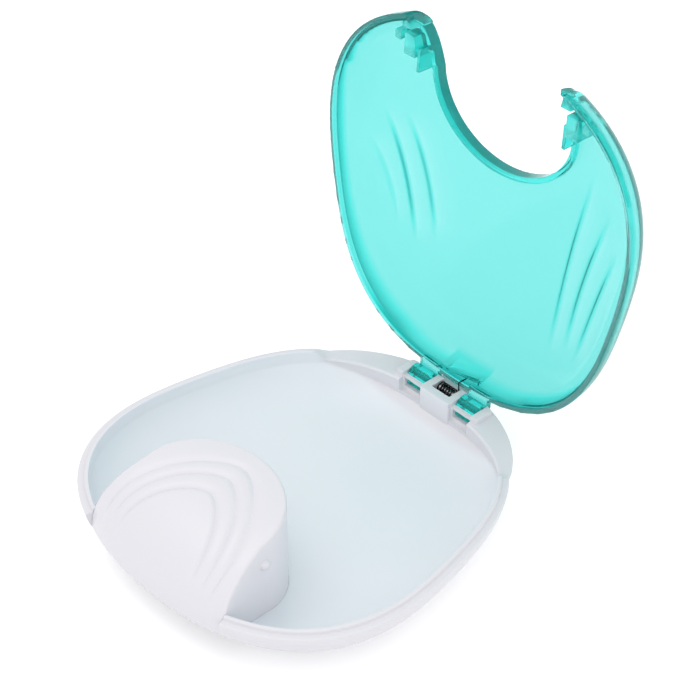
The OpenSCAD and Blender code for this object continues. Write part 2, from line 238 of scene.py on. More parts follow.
class FinishColours(bpy.types.PropertyGroup):
    """Colours of the finishes."""

    tray_white: colour_prop("Tray white", "Colour of the tray's plastic", (0.74, 0.735, 0.775))
    # Painted light: the tray's inside is drawn lighter and teal, as light through the open lid would make it
    tray_lid_light: colour_prop(
        "Tray inside", "Colour of the tray's plastic inside, with the open lid's tint", (0.80, 0.83, 0.875)
    )
    button_white: colour_prop("Button white", "Colour of the button's plastic", (0.745, 0.735, 0.78))
    # Painted highlight: the palest teal, laid beside the creases and on the underside of the rim's flange
    lid_highlight: colour_prop("Lid pale", "The lid's plastic in its palest places", (0.62, 0.93, 0.93))
    lid_teal: colour_prop("Lid teal", "The lid's plastic over its broad faces", (0.23, 0.79, 0.76))
    lid_thick: colour_prop("Lid thick", "The lid's plastic in its blocks and knuckles", (0.04, 0.74, 0.69))
    # Also the colour of the painted shade along the creases
    lid_deep_and_shade: colour_prop("Lid deep", "The lid's plastic where it is looked at edge-on", (0.0, 0.27, 0.25))
    spring_black: colour_prop("Spring black", "Colour of the blackened spring", (0.015, 0.015, 0.018))
    steel: colour_prop("Steel", "Colour of bright steel wire", (0.62, 0.63, 0.65))


def sizes():
    """The property groups that hold the sizes and colours."""
    scene = bpy.context.scene
    return scene.denture_case, scene.denture_lid, scene.denture_button, scene.denture_finish


# ---- Outline and curves ----


def bulge(s, curve):
    """Height of a domed section at outline scale s, from 1 in the middle to 0 at the edge."""
    p, q = curve
    return np.maximum(0, 1 - np.minimum(s, 1) ** p) ** (1 / q)


def outline_r(case, a):
    """Outline radius at angle a, measured from the rear (+Y) towards +X."""
    waves = (
        case.outline_three * np.cos(3 * a)
        + case.outline_four * np.cos(4 * a)
        + case.outline_five * np.cos(5 * a)
    )
    return case.case_r * (1 + waves)


def lobe_r(case, a):
    """How far the rear lobe stands out at angle a."""
    a = (a + math.pi) % FULL_TURN - math.pi
    return np.where(np.abs(a) < LOBE_HALF, case.lobe_depth * np.cos(math.pi / 2 * a / LOBE_HALF), 0)


def smooth(t):
    """Smooth step from 0 to 1 as t runs from 0 to 1."""
    t = np.clip(t, 0, 1)
    return t * t * (3 - 2 * t)


def fade(value, start, width):
    """Smooth step from 0 to 1 over a width that begins at start, both in millimetres."""
    return smooth((value - start * MM) / (width * MM))


def mix(a, b, t):
    """The value at share t of the way from a to b."""
    return a + (b - a) * t


def rear(a):
    """1 on the rear lobe, 0 on the rest of the rim."""
    a = (a + math.pi) % FULL_TURN - math.pi
    return smooth((LOBE_HALF + math.radians(1) - np.abs(a)) / LOBE_BLEND)


def ring(a, r, z):
    """Ring of points at radii r and heights z."""
    return np.stack([r * np.sin(a), r * np.cos(a), z + 0 * a], axis=-1)


def scale_at(case, x, y, grow=0.0):
    """Outline scale of plan points: 0 in the middle and 1 on the outline."""
    return (np.hypot(x, y) + grow) / outline_r(case, np.arctan2(x, y))


def tray_outer_z(case, s):
    """Height of the tray's outer face, which is cut off flat at the table."""
    return np.maximum(0, case.rim_z - 1.03 * case.rim_z * bulge(s, TRAY_CURVE))


def tray_inner_z(case, s):
    """Height of the tray's inner face, with its flat floor."""
    share = bulge(np.maximum(s, FLOOR_SCALE), TRAY_CURVE) / bulge(FLOOR_SCALE, TRAY_CURVE)
    return case.rim_z - case.tray_depth * share


def arch(half_w, apex_y, steps=64):
    """Plan points of an arch open to the front: flared sides under half an ellipse."""
    t = np.linspace(math.pi, 0, steps + 1)
    round_part = np.stack([half_w * np.cos(t), ARCH_MID_Y + (apex_y - ARCH_MID_Y) * np.sin(t)], axis=-1)
    foot = half_w + ARCH_FLARE * (ARCH_MID_Y - FRONT_Y)
    return np.vstack([[-foot, FRONT_Y], round_part, [foot, FRONT_Y]])


def around(steps):
    """Angles of the points of a ring."""
    return np.arange(steps) * FULL_TURN / steps


def scales_out(count):
    """Outline scales from near the middle to near the edge, closer together towards the edge."""
    return np.sin(np.linspace(0.1, 1.47, count)) ** 0.6


# ---- Mesh making ----


def place(name, data):
    """Object in the scene that holds a mesh, a lamp or the camera."""
    made = bpy.data.objects.new(name, data)
    bpy.context.scene.collection.objects.link(made)
    return made


def place_mesh(name, bm, mesh=None):
    """Object of what a bmesh holds. The bmesh is used up."""
    mesh = mesh or bpy.data.meshes.new(name)
    bm.to_mesh(mesh)
    bm.free()
    return place(name, mesh)


def new_object(name, points, faces):
    """Object from points and faces, with doubled points merged and its normals outward."""
    mesh = bpy.data.meshes.new(name)
    mesh.from_pydata([tuple(p) for p in np.asarray(points, float)], [], [tuple(f) for f in faces])
    bm = bmesh.new()
    bm.from_mesh(mesh)
    bmesh.ops.remove_doubles(bm, verts=bm.verts, dist=DOUBLED)
    bmesh.ops.dissolve_degenerate(bm, edges=bm.edges, dist=DOUBLED)
    bmesh.ops.recalc_face_normals(bm, faces=bm.faces)
    return place_mesh(name, bm, mesh)


def grid_faces(rows, cols, start=0, wrap=False):
    """Quads of a grid of points. With wrap, the last column joins the first."""
    faces = []
    for i in range(rows - 1):
        for j in range(cols if wrap else cols - 1):
            k = (j + 1) % cols
            faces.append((start + i * cols + j, start + i * cols + k,
                          start + (i + 1) * cols + k, start + (i + 1) * cols + j))
    return faces


def loft(name, rings):
    """Closed solid through rings of equal length, with an end face on each end."""
    n = len(rings[0])
    faces = grid_faces(len(rings), n, wrap=True)
    faces.append(tuple(range(n)))
    faces.append(tuple((len(rings) - 1) * n + i for i in range(n)))
    return new_object(name, np.vstack(rings), faces)


def prism(name, outline, low, high):
    """Upright prism of a plan outline."""
    flat = np.asarray(outline)
    bottom = np.column_stack([flat, np.full(len(flat), low)])
    top = np.column_stack([flat, np.full(len(flat), high)])
    return loft(name, [bottom, top])


def soft_box(name, low, high, edge=0.25 * MM):
    """Box with rounded edges between two corners."""
    bm = bmesh.new()
    bmesh.ops.create_cube(bm, size=1)
    for v in bm.verts:
        v.co = Vector(mix(low[i], high[i], v.co[i] + 0.5) for i in range(3))
    if edge:
        bmesh.ops.bevel(bm, geom=bm.edges, offset=edge, segments=3, profile=0.5, affect="EDGES")
    return place_mesh(name, bm)


def round_bar(name, start, end, r, sides=48, edge=0.0):
    """Cylinder between two points, with its end edges rounded off by edge."""
    start, end = Vector(start), Vector(end)
    turn = (end - start).to_track_quat("Z", "Y").to_matrix()
    length = (end - start).length
    profile = [(r, 0), (r, length)]
    if edge:
        bend = np.linspace(0, math.pi / 2, 5)
        low = [(r - edge * (1 - math.sin(t)), edge * (1 - math.cos(t))) for t in bend]
        profile = low + [(q, length - h) for q, h in reversed(low)]
    rings = []
    for q, h in profile:
        t = around(sides)
        local = np.stack([q * np.cos(t), q * np.sin(t), np.full(sides, h)], axis=-1)
        rings.append(local @ np.array(turn).T + np.array(start))
    return loft(name, rings)


def tube(name, path, r, axis, sides=12):
    """Wire of radius r along a path that coils round axis, with rounded ends."""
    path = np.asarray(path, float)
    along = np.gradient(path, axis=0)
    along /= np.linalg.norm(along, axis=1)[:, None]
    u = np.cross(along, axis)
    u /= np.linalg.norm(u, axis=1)[:, None]
    v = np.cross(u, along)
    t = around(sides)
    rings = [p + r * (np.outer(np.cos(t), a) + np.outer(np.sin(t), b)) for p, a, b in zip(path, u, v)]
    first, last = path[0] - 0.4 * r * along[0], path[-1] + 0.4 * r * along[-1]
    rings.insert(0, first + 0.6 * (rings[0] - path[0]))
    rings.append(last + 0.6 * (rings[-1] - path[-1]))
    return loft(name, rings)


def combine(target, tool, operation):
    """Adds, cuts or keeps what a tool solid shares with target. The tool is used up."""
    change = target.modifiers.new(operation, "BOOLEAN")
    change.operation = operation
    change.solver = "MANIFOLD"
    change.object = tool
    bpy.context.view_layer.update()
    made = bpy.data.meshes.new_from_object(target.evaluated_get(bpy.context.evaluated_depsgraph_get()))
    if not made.polygons:
        raise RuntimeError(f"{operation} of {tool.name} left nothing of {target.name}")
    target.modifiers.clear()
    old = target.data
    target.data = made
    made.name = old.name
    bpy.data.meshes.remove(old)
    bpy.data.objects.remove(tool)
    return target


def finish_mesh(piece, material, sharp=math.radians(32)):
    """Smooth shading, except across edges sharper than the angle, and the piece's material."""
    mesh = piece.data
    mesh.materials.clear()
    mesh.materials.append(material)
    mesh.polygons.foreach_set("use_smooth", np.ones(len(mesh.polygons), bool))
    mesh.set_sharp_from_angle(angle=sharp)
    mesh.update()
    return piece


# ---- Tray ----


def rounded_rows(corners, radii, steps=4):
    """Rows of a profile whose corner rows are rounded by quarter bends of the given lengths."""
    rows = [corners[0]]
    for before, here, after, length in zip(corners, corners[1:], corners[2:], radii):
        back, ahead = before - here, after - here
        d0 = np.linalg.norm(back, axis=-1, keepdims=True)
        d1 = np.linalg.norm(ahead, axis=-1, keepdims=True)
        q0 = here + back * np.minimum(length / np.maximum(d0, 1e-9), 0.45)
        q2 = here + ahead * np.minimum(length / np.maximum(d1, 1e-9), 0.45)
        for t in np.linspace(0, 1, steps + 1):
            rows.append((1 - t) ** 2 * q0 + 2 * t * (1 - t) * here + t * t * q2)
    rows.append(corners[-1])
    return rows


def tray_shell(case, steps=432):
    """The tray's shell: its outer face, rim with the seat and lip, and its hollow."""
    a = around(steps)
    full = outline_r(case, a) + lobe_r(case, a)
    own = outline_r(case, a)
    w = rear(a)
    lobe_top = case.rim_z - LOBE_DROP
    drop = mix(1, lobe_top / case.rim_z, w)
    outer = [
        ring(a, s * full, tray_outer_z(case, s) * drop)
        for s in scales_out(60)
    ]
    shelf = case.rim_z - SHELF_DROP
    top = mix(case.rim_z, lobe_top, w)
    seat_in = own - SEAT_W
    corners = [
        ring(a, full, top - 0.5 * MM),
        ring(a, full, top),
        ring(a, seat_in, mix(case.rim_z, shelf, w)),
        ring(a, seat_in - mix(0.05, 0.1, w) * MM, mix(case.rim_z + RIM_LIP_H, shelf - 0.02 * MM, w)),
        ring(a, seat_in - mix(RIM_LIP_W, 0.4 * MM, w), mix(case.rim_z + RIM_LIP_H, shelf - 0.2 * MM, w)),
        ring(a, own - 2.42 * MM, tray_inner_z(case, 0.9865)),
    ]
    rim = rounded_rows(corners, [RIM_ROUND, 0.12 * MM, 0.3 * MM, 0.3 * MM])
    inner = []
    for s in 1 - (np.linspace(0.12, 0.86, 56) ** 2.0):
        hollow = s * (own + LOBE_HOLLOW * lobe_r(case, a)) - case.wall
        inner.append(ring(a, np.minimum(hollow, own - 2.0 * MM), tray_inner_z(case, s)))
    return loft("Tray", outer + rim[:-1] + inner)


def above_tray(case, inset, lift, steps=216):
    """What lies inside and above the tray's outer face, drawn in by inset and lifted by lift."""
    a = around(steps)
    full = outline_r(case, a) + lobe_r(case, a)
    rings = [
        ring(a, s * full - inset, tray_outer_z(case, s) + lift)
        for s in scales_out(40)
    ]
    rings.append(ring(a, full - inset, case.rim_z + lift))
    rings.append(ring(a, full - inset, SPACE_TOP))
    return loft("above_tray", rings)


def cut_well(case, button, tray):
    """Cuts the well for the button; a strip of the front wall stands up below its front."""
    plan = arch(button.button_w / 2 + WELL_GAP, button.button_apex_y + WELL_GAP)
    well = combine(prism("well", plan, LOW_Z, HIGH_Z), above_tray(case, 0, WELL_Z), "INTERSECT")
    combine(tray, well, "DIFFERENCE")
    combine(tray, prism("well_top", plan, WELL_FRONT_Z, HIGH_Z), "DIFFERENCE")


def add_posts(tray):
    """Guide posts, snap posts and the spring's seat on the floor of the well."""
    low = WELL_Z - 0.3 * MM
    for side in (-1, 1):
        x = side * GUIDE_X
        post = round_bar("post", (x, GUIDE_Y, low), (x, GUIDE_Y, GUIDE_TOP), GUIDE_R, edge=0.4 * MM)
        combine(tray, post, "UNION")
        # A snap post and, at its top, the hook that keeps the button on
        for outer_x, foot, edge in ((14.2, low, 0.25 * MM), (15.3, GUIDE_TOP, 0.1 * MM)):
            left, right = sorted((side * SNAP_X, side * outer_x * MM))
            corners = (left, GUIDE_Y - SNAP_HALF_Y, foot), (right, GUIDE_Y + SNAP_HALF_Y, SNAP_TOP)
            combine(tray, soft_box("snap", *corners, edge), "UNION")
    seat = round_bar("seat", (0, GUIDE_Y, low), (0, GUIDE_Y, WELL_Z + 1.3 * MM), 2.2 * MM, edge=0.3 * MM)
    combine(tray, seat, "UNION")


def hinge_z(case):
    """Height of the hinge line."""
    return case.rim_z - case.hinge_drop


def add_housing(case, tray):
    """Hinge housing on the rear lobe: the knuckles' pockets, bars, windows and the spring's slot."""
    floor = case.rim_z - case.tray_depth + 1 * MM
    top = case.rim_z - 0.1 * MM
    housing, block = (
        soft_box("housing", (-width / 2, front, floor), (width / 2, front + HOUSING_DEPTH, top))
        for width, front in ((HOUSING_W, HOUSING_FRONT), (BLOCK_W, BLOCK_FRONT))
    )
    combine(housing, block, "UNION")
    combine(housing, above_tray(case, 0.6 * MM, 0), "INTERSECT")
    combine(tray, housing, "UNION")
    axis_z = hinge_z(case)
    heel_w = case.hinge_y - BAR_Y - STOP_GAP
    pocket_z = axis_z - math.hypot(heel_w, HEEL_H) - 0.3 * MM
    bar_top, bar_z, sill = case.rim_z - 0.9 * MM, case.rim_z - 1.7 * MM, case.rim_z - 3.8 * MM
    for side in (-1, 1):
        left, right = side * KNUCKLE_X - POCKET_W / 2, side * KNUCKLE_X + POCKET_W / 2
        # The pocket, the space over the bar, the niche before it and the window below it
        for low_corner, high_corner, edge in (
            ((left, BAR_Y, pocket_z), (right, BAR_Y + 20 * MM, BLOCK_TOP), 0.2 * MM),
            ((left, 31 * MM, bar_top), (right, 61 * MM, BLOCK_TOP), 0.0),
            ((left, 30 * MM, sill - 0.8 * MM), (right, NICHE_BACK, BLOCK_TOP), 0.3 * MM),
            ((left + 0.3 * MM, 31 * MM, sill), (right - 0.3 * MM, 46 * MM, bar_z), 0.15 * MM),
        ):
            combine(tray, soft_box("pocket", low_corner, high_corner, edge), "DIFFERENCE")
    back, slot_z = case.hinge_y + SPRING_R + 0.5 * MM, axis_z - SPRING_R - 0.5 * MM
    slot = soft_box("slot", (-SLOT_W / 2, SLOT_FRONT, slot_z), (SLOT_W / 2, back, BLOCK_TOP), 0.2 * MM)
    combine(tray, slot, "DIFFERENCE")
    cut_bore(case, tray, HOUSING_W / 2 - 1 * MM, 0.02 * MM)


def cut_bore(case, piece, reach, gap):
    """Cuts the bore for the hinge pin, with a gap round the pin."""
    y, z = case.hinge_y, hinge_z(case)
    combine(piece, round_bar("bore", (-reach, y, z), (reach, y, z), case.pin_r + gap), "DIFFERENCE")


# ---- Lid ----


def dome_z(case, lid, x, y):
    """Height of the closed lid's outer face over plan points."""
    return case.rim_z + SEAT_GAP + lid.lid_h * bulge(scale_at(case, x, y), LID_CURVE)


def dome_inner_z(case, lid, x, y):
    """Height of the closed lid's inner face."""
    s = scale_at(case, x, y, case.wall)
    return case.rim_z + SEAT_GAP + (lid.lid_h - case.wall) * bulge(s, LID_CURVE)


def bend(points, t):
    """Points on the smooth curve that runs through three plan points."""
    start, middle, end = (np.array(p, float) * MM for p in points)
    control = 2 * middle - (start + end) / 2
    t = np.asarray(t)[:, None]
    return (1 - t) ** 2 * start + 2 * t * (1 - t) * control + t * t * end


# Creases in the closed lid's two wings, in millimetres: start, middle and end, and their strength
CREASES = (
    ((24.2, -19.4), (19.4, 5.8), (17.5, 31.6), 0.9),
    ((29.8, -11.9), (24.2, 7.8), (22.0, 28.0), 1.0),
    ((32.9, -4.2), (28.4, 12.0), (25.4, 28.4), 0.9),
    ((-30.1, -9.6), (-22.4, 3.9), (-18.4, 20.0), 0.9),
    ((-35.9, -8.8), (-28.3, 5.9), (-23.7, 23.5), 1.0),
    ((-38.9, -0.6), (-33.0, 8.4), (-29.0, 20.0), 0.3),
)
CREASE_EDGE = 0.3 * MM
CREASE_FADE = 2.6 * MM
# Width of the painted shade line along a crease
CREASE_SHADE_W = 0.55 * MM
# How far the painted highlight beside a crease reaches
HIGHLIGHT_FADE = 2.6 * MM

# How deep the lid's colour looks in its places, from 0, nearly white, to 1, dark; the low end is painted
# highlight and the creases' level is painted shade
DEEP_FACE = 0.3
DEEP_THICK = 0.6
DEEP_FLANGE = 0.95
DEEP_WALL = 0.66
DEEP_LIP = 0.6
DEEP_SIDE = 0.6
DEEP_BLOCK = 0.5
DEEP_HINGE = 0.5
# Painted shade along the creases' edges
CREASE_SHADE = 1.0
DEEP_HOOD = 0.6
HOOD_X, HOOD_HALF = 1 * MM, 5.6 * MM
# How much painted highlight lightens the face beside the creases and under the rim
CREASE_HIGHLIGHT = 0.25
RIM_HIGHLIGHT = 0.3
LEAST_MARK = 0.02


def crease_marks(x, y):
    """Depth of the lid's creases at plan points, how near their edges are, as painted shade along them,
    and the painted highlight beside them, all from 0 to 1."""
    drop, crease_shade, highlight = np.zeros_like(x), np.zeros_like(x), np.zeros_like(x)
    for start, middle, end, strength in CREASES:
        line = bend((start, middle, end), np.linspace(0, 1, 61))
        step = np.gradient(line, axis=0)
        step /= np.linalg.norm(step, axis=1)[:, None]
        dx, dy = x[..., None] - line[:, 0], y[..., None] - line[:, 1]
        nearest = np.argmin(dx * dx + dy * dy, axis=-1)
        px, py = x - line[nearest, 0], y - line[nearest, 1]
        right_of = px * step[nearest, 1] - py * step[nearest, 0]
        outward = right_of * np.sign(middle[0])
        beyond = np.abs(px * step[nearest, 0] + py * step[nearest, 1])
        share = nearest / (len(line) - 1)
        near_line = 1 - smooth(beyond / MM - 0.5)
        ends = strength * near_line * smooth(share / 0.4) * smooth((1 - share) / 0.35)
        step_up = smooth((outward + CREASE_EDGE) / (2 * CREASE_EDGE))
        profile = step_up * np.exp(-np.maximum(outward, 0) / CREASE_FADE)
        drop = np.maximum(drop, ends * profile)
        # Painted shade: a dark line along each crease's edge
        crease_shade = np.maximum(crease_shade, ends * np.exp(-(right_of / CREASE_SHADE_W) ** 2))
        # Painted highlight: a pale band beside each crease, fading away from it
        band = fade(right_of, 0, 0.5) * np.exp(-np.maximum(right_of, 0) / HIGHLIGHT_FADE)
        long_ends = near_line * smooth(share / 0.25) * smooth((1 - share) / 0.2)
        highlight = np.maximum(highlight, band * long_ends * mix(0.5, 1, strength))
    return drop, crease_shade, highlight


def lid_tip_angle(case, lid):
    """Angle at which the cutout's side meets the outline."""
    low, high = math.radians(110), math.radians(175)
    for _ in range(50):
        a = (low + high) / 2
        x, y = outline_r(case, a) * math.sin(a), outline_r(case, a) * math.cos(a)
        edge = lid.cutout_w / 2 + ARCH_FLARE * (ARCH_MID_Y - y)
        low, high = (a, high) if x > edge else (low, a)
    return (low + high) / 2


def along(points, share):
    """Points at shares of the length of a plan line."""
    length = np.concatenate([[0], np.cumsum(np.linalg.norm(np.diff(points, axis=0), axis=1))])
    return np.stack([np.interp(share * length[-1], length, points[:, i]) for i in range(2)], axis=-1)


# The lid's section: its thicknesses, the points along its faces and how it ends at the tips
RIM_WALL = 1.85 * MM
LEAST_WALL = 0.25 * MM
CUT_ROUND = 0.45 * MM
RIM_LIP_ROOM = 0.3 * MM
OUTLINE_POINTS = 721
TOP_POINTS = 220
INNER_POINTS = 80
TIP_NARROW = 8 * MM
TIP_CROWDING = 0.25
TIP_END = 0.002


def lid_shell(case, lid, sections=420):
    """The lid's shell: a closed section swept round the horseshoe between cutout and outline."""
    tip = lid_tip_angle(case, lid)
    a = np.linspace(-tip, tip, OUTLINE_POINTS)
    r = outline_r(case, a)
    outline = np.stack([r * np.sin(a), r * np.cos(a)], axis=-1)
    cut = arch(lid.cutout_w / 2, lid.cutout_apex_y, CUTOUT_STEPS)
    cut[0], cut[-1] = outline[0], outline[-1]
    even = np.linspace(0, 1, sections + 1)
    share = smooth(even) * TIP_CROWDING + even * (1 - TIP_CROWDING)
    share = np.clip(share, TIP_END, 1 - TIP_END)
    inner_edge, outer_edge = along(cut, share), along(outline, share)
    run = outer_edge - inner_edge
    length = np.linalg.norm(run, axis=1)[:, None]
    run /= length
    narrow = np.clip(length / TIP_NARROW, 0, 1)
    lip_w, flange_w, wall = lid.lip_w * narrow, FLANGE_W * narrow, RIM_WALL * narrow

    def plan(u):
        """Plan points at distances u from the cutout's edge."""
        p = inner_edge[:, None, :] + run[:, None, :] * u[..., None]
        return p[..., 0], p[..., 1]

    base = case.rim_z + SEAT_GAP
    edge = np.minimum(CUT_ROUND, 0.2 * length)
    to_rim = (1 - (1 - np.linspace(0, 1, TOP_POINTS)) ** 1.9)[None, :]
    u_top = edge + (length - edge) * to_rim
    x, y = plan(u_top)
    z_top = dome_z(case, lid, x, y) - lid.crease * crease_marks(x, y)[0] * (1 - (u_top / length) ** 12)
    # Rounded corner between the cutout's wall and the outer face
    corner = np.linspace(0, math.pi / 2, 6)[None, :-1]
    u_corner = edge * (1 - np.cos(corner))
    xc, yc = plan(u_corner)
    z_corner = dome_z(case, lid, xc, yc) - edge * (1 - np.sin(corner))
    # Flange: the bottom edge of the rim, then the rebate that clears the tray's lip
    u_flange = length - flange_w * np.array([[0.2, 0.8, 1, 1, 1]])
    rebate = case.rim_z + RIM_LIP_H + RIM_LIP_ROOM
    z_flange = np.broadcast_to(
        np.array([base, base, base + 0.2 * MM, rebate - 0.1 * MM, rebate]), u_flange.shape
    )
    # Inner face of the dome, from the rebate to the lip
    from_rim = ((1 - np.linspace(0, 1, INNER_POINTS)) ** 2.6)[None, :]
    u_in = length - wall - (length - wall - lip_w) * (1 - from_rim)
    xi, yi = plan(u_in)
    z_in = np.maximum(dome_inner_z(case, lid, xi, yi), rebate)
    z_in = np.minimum(z_in, dome_z(case, lid, xi, yi) - LEAST_WALL)
    # Lip round the cutout: its inner face, bottom edge and the wall of the cutout
    ridge = dome_z(case, lid, *plan(0 * length))
    lip_low = np.maximum(ridge - lid.lip_h, base + 0.1 * MM)
    r_lip = np.minimum(0.25 * MM, 0.2 * lip_w)
    u_lip = np.concatenate([lip_w, lip_w, lip_w - r_lip, r_lip, 0 * lip_w, 0 * lip_w], axis=1)
    z_face = mix(z_in[:, -1:], lip_low, 0.5)
    z_wall = mix(lip_low, z_corner[:, :1], 0.5)
    z_lip = np.concatenate([z_face, lip_low + r_lip, lip_low, lip_low, lip_low + r_lip, z_wall], axis=1)
    u = np.concatenate([u_corner, u_top, u_flange, u_in, u_lip], axis=1)
    z = np.concatenate([z_corner, z_top, z_flange, z_in, z_lip], axis=1)
    x, y = plan(u)
    return loft("Lid", list(np.stack([x, y, z], axis=-1)))


def domed_solid(case, scale, grow, low, foot, rise, curve):
    """Solid under a dome on the scaled outline, with its surface moved out by grow."""
    a = around(240)
    rings = [ring(a, scale * outline_r(case, a) + grow, low)]
    for s in np.cos(np.linspace(0.02, 1.5, 40)) ** 0.5:
        rings.append(ring(a, s * scale * outline_r(case, a) + grow, foot + rise * bulge(s, curve) + grow))
    return loft("dome", rings)


def crown_clearance(case, button):
    """The space that the lid's tips leave free round the button."""
    foot_z = tray_outer_z(case, BUTTON_SCALE)
    rise = case.rim_z + button.button_h - foot_z
    space = domed_solid(case, BUTTON_SCALE, LID_CLEAR, 0, foot_z, rise, BUTTON_CURVE)
    plan = arch(button.button_w / 2 + LID_CLEAR, button.button_apex_y + LID_CLEAR)
    return combine(space, prism("plan", plan, LOW_Z, HIGH_Z), "INTERSECT")


def dome_solid(case, lid):
    """Solid inside the lid's outer face, a little drawn in."""
    return domed_solid(case, 1, -DOME_INSET, case.rim_z, case.rim_z + SEAT_GAP, lid.lid_h, LID_CURVE)


# Catches, blocks and hooks of the right tip, in millimetres: the low corner, then x and y of the high one
TIP_BLOCKS = (
    ((19.8, -29.4, 16.6), (20.7, -24.0)),
    ((20.8, -32.2, 16.0), (24.0, -27.2)),
    ((25.0, -31.8, 16.0), (26.8, -29.8)),
    ((20.1, -40.0, 14.15), (23.1, -34.4)),
)
DOME_INSET = 0.4 * MM


def add_tips(case, lid, button, shell):
    """Catches, blocks and hooks at the lid's two tips."""
    for side in (-1, 1):
        for low, high in TIP_BLOCKS:
            left, right = sorted((side * low[0] * MM, side * high[0] * MM))
            corners = (left, low[1] * MM, low[2] * MM), (right, high[1] * MM, BLOCK_TOP)
            block = soft_box("block", *corners, 0.2 * MM)
            combine(block, dome_solid(case, lid), "INTERSECT")
            combine(block, crown_clearance(case, button), "DIFFERENCE")
            combine(shell, block, "UNION")


def add_hood(case, shell):
    """Sloping hood inside the lid's rear wall, over the end of the spring's leg."""

    def plate(left, right, left_section, right_section):
        """Plate between two sections of y and height above the rim, in millimetres."""
        ends = ((left, left_section), (right, right_section))
        rings = [np.array([(x, y * MM, case.rim_z + z * MM) for y, z in section]) for x, section in ends]
        return loft("plate", rings)

    left_end = [(41.2, 1.1), (41.75, 1.1), (41.75, 3.4), (40.5, 3.6)]
    right_end = [(39.7, 1.2), (40.25, 1.2), (40.6, 6.2), (39.5, 6.2)]
    left_cheek = [(41.2, 1.1), (42.6, 1.1), (42.6, 3.5), (40.5, 3.6)]
    right_cheek = [(39.7, 1.2), (41.4, 1.2), (41.2, 2.0), (39.9, 6.2), (39.5, 6.2)]
    hood = plate(-4.2 * MM, 6.3 * MM, left_end, right_end)
    combine(hood, plate(-4.3 * MM, -3.7 * MM, left_cheek, left_cheek), "UNION")
    combine(hood, plate(5.7 * MM, 6.35 * MM, right_cheek, right_cheek), "UNION")
    combine(shell, hood, "UNION")


def add_knuckles(case, lid, shell):
    """Hinge knuckles with their arms and stop heels, and the bore for the pin."""
    axis_y, axis_z = case.hinge_y, hinge_z(case)
    heel_w = axis_y - BAR_Y - STOP_GAP
    inset = 0.85 * MM
    for side in (-1, 1):
        left, right = side * KNUCKLE_X - KNUCKLE_W / 2, side * KNUCKLE_X + KNUCKLE_W / 2
        ends = (left, axis_y, axis_z), (right, axis_y, axis_z)
        barrel = round_bar("knuckle", *ends, case.knuckle_r, 64, 0.15 * MM)
        arm_z = case.rim_z + SEAT_GAP
        arm = soft_box("arm", (left, axis_y - 3.9 * MM, arm_z), (right, axis_y, arm_z + 1.5 * MM), 0.15 * MM)
        combine(barrel, arm, "UNION")
        heel = soft_box("heel", (left, -heel_w, -HEEL_H), (right, -inset, -inset), 0.12 * MM)
        heel.data.transform(Matrix.Translation((0, axis_y, axis_z)) @ Matrix.Rotation(lid.open_angle, 4, "X"))
        combine(barrel, heel, "UNION")
        combine(shell, barrel, "UNION")
    cut_bore(case, shell, 20 * MM, 0.06 * MM)


def coordinates(piece):
    """Coordinates of a piece's vertices."""
    points = np.empty(len(piece.data.vertices) * 3)
    piece.data.vertices.foreach_get("co", points)
    return points.reshape(-1, 3).T


def add_mark(piece, name, values):
    """Writes a value for each vertex, which the piece's material reads."""
    piece.data.attributes.new(name, "FLOAT", "POINT").data.foreach_set("value", values)


def from_outline(case, x, y):
    """How far inside the case's outline plan points lie."""
    return outline_r(case, np.arctan2(x, y)) - np.hypot(x, y)


def deepen(case, lid, shell):
    """Marks where the closed lid's plastic looks deep: rim, cutout's edge, blocks, hood, hinge, with painted
    shade along the creases and painted highlights beside them and under the rim.
    """
    x, y, z = coordinates(shell)
    base = case.rim_z + SEAT_GAP
    from_rim = from_outline(case, x, y)
    cut = along(arch(lid.cutout_w / 2, lid.cutout_apex_y, CUTOUT_STEPS), np.linspace(0, 1, 500))
    from_cut = np.full(len(x), 1.0)
    for px, py in cut:
        from_cut = np.minimum(from_cut, np.hypot(x - px, y - py))
    inside = dome_inner_z(case, lid, x, y) - z
    outer = inside < -0.6 * MM
    low = 1 - fade(z - base, 1.2, 0.8)
    on_hood = (np.abs(x - HOOD_X) < HOOD_HALF) * (y > 39.2 * MM) * (y < 42.7 * MM)
    hood = on_hood * (z > base + 0.8 * MM) * (inside > -0.2 * MM)
    # The second value is painted shade along the creases' edges, the third painted highlight beside them
    _drop, crease, highlight = crease_marks(x, y)
    marks = (
        (fade(from_rim, 1.25, 0.15) * (1 - fade(from_rim, 2.5, 0.35)) * low, DEEP_FLANGE),
        (1 - fade(from_cut, 0.05, 0.4), DEEP_WALL),
        ((1 - fade(from_cut, 1.2, 0.5)) * fade(inside, 0, 0.6), DEEP_LIP),
        ((1 - fade(from_rim, 0.05, 0.2)) * low, DEEP_SIDE),
        (fade(inside, 0.3, 0.5) * fade(from_rim, 2.9, 0.6), DEEP_BLOCK),
        (fade(-from_rim, 0, 0.4), DEEP_HINGE),
        # Painted shade along the creases, on the outer face
        (crease * outer, CREASE_SHADE),
        (hood, DEEP_HOOD),
        (hood * (z < base + 1.3 * MM), DEEP_FLANGE),
    )
    added = np.max([mark * (level - DEEP_FACE) for mark, level in marks], axis=0)
    # Painted highlights on the underside of the rim's flange and beside the creases lighten the face
    underside = (z < base + 0.15 * MM) * fade(from_rim, 0, 0.3) * (1 - fade(from_rim, 1, 0.2))
    painted_highlight = np.maximum(highlight * outer * CREASE_HIGHLIGHT, underside * RIM_HIGHLIGHT)
    add_mark(shell, "deep", DEEP_FACE + np.where(added > LEAST_MARK, added, -painted_highlight))


# ---- Button ----

